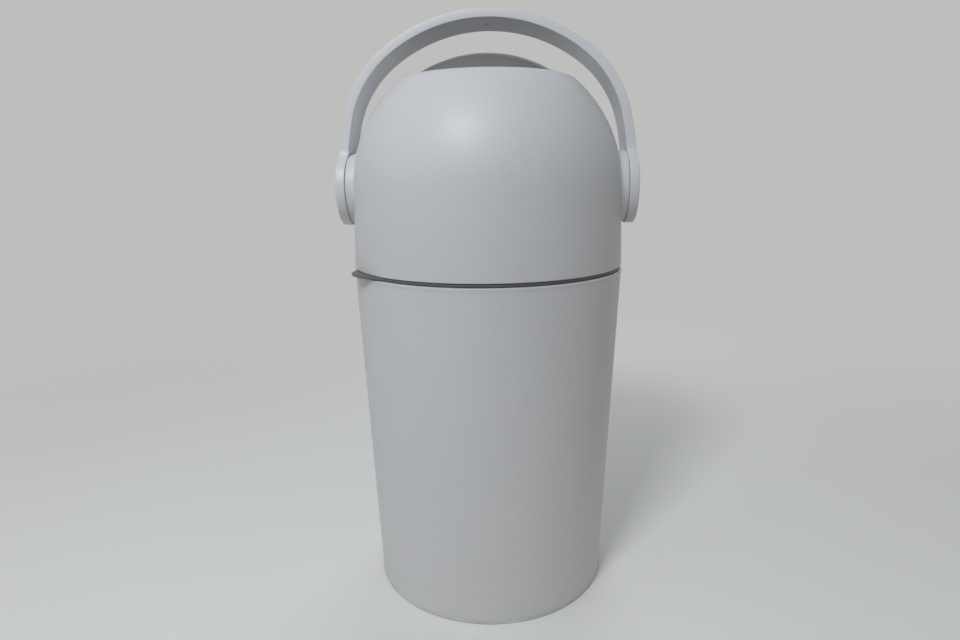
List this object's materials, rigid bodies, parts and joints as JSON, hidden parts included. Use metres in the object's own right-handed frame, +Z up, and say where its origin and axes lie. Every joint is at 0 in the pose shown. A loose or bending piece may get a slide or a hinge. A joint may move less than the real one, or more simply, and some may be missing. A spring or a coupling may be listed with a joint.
{
  "type": "nappy bin",
  "caption": "Floor-standing nappy bin: tapered round bucket, domed head and a flip handle that turns a ball drum with a sliding piston.",
  "frame": {"origin": "centre of the flat base, on the surface that the bin stands on", "axes": "+Z up; -Y towards the front, where the finger tab stands at the left; +X towards the right-hand disc of the handle, along the handle's axis"},
  "size_m": [0.3014, 0.2914, 0.6007],
  "materials": {
    "white_plastic": "fine matt moulded, slightly cool white",
    "grey_plastic": "satin moulded mid grey",
    "bush_plastic": "natural nylon",
    "seal_rubber": "soft dull black",
    "steel": "zinc plated"
  },
  "bodies": {
    "bucket": {"bucket": "white_plastic", "hinge_pin": "steel"},
    "bag_ring": {"bag_ring": "grey_plastic"},
    "head": {"dome_shell": "white_plastic", "head_base": "grey_plastic", "head_screws": "steel", "head_gasket": "seal_rubber", "mouth_collar": "grey_plastic", "upper_seal": "seal_rubber", "lower_seal": "seal_rubber", "seal_retainer": "grey_plastic", "bush_left": "bush_plastic", "bush_right": "bush_plastic"},
    "drum": {"drum_upper": "grey_plastic", "drum_lower": "grey_plastic", "bore_tube": "grey_plastic", "bore_ring_front": "grey_plastic", "bore_ring_rear": "grey_plastic", "bore_ring_screws": "steel", "axle_left": "steel", "axle_right": "steel", "handle": "white_plastic", "handle_cap_left": "white_plastic", "handle_cap_right": "white_plastic", "handle_screws": "steel"},
    "piston": {"piston_front": "white_plastic", "piston_rear": "white_plastic", "piston_seal": "seal_rubber"}
  },
  "joints": [
    {"name": "bag_ring_lift", "type": "hinge", "parent": "bucket", "child": "bag_ring", "pos_m": [0, 0.1465, 0.347], "axis": [-1, 0, 0], "range_deg": [0, 40]},
    {"name": "head_open", "type": "hinge", "parent": "bag_ring", "child": "head", "pos_m": [0, 0.1465, 0.347], "axis": [-1, 0, 0], "range_deg": [0, 70]},
    {"name": "handle_flip", "type": "hinge", "parent": "head", "child": "drum", "pos_m": [0, 0, 0.427], "axis": [1, 0, 0], "range_deg": [-82.8, 97.2]},
    {"name": "piston_slide", "type": "slide", "parent": "drum", "child": "piston", "axis": [0, -0.9921, 0.1253], "range_m": [0, 0.1438]}
  ]
}
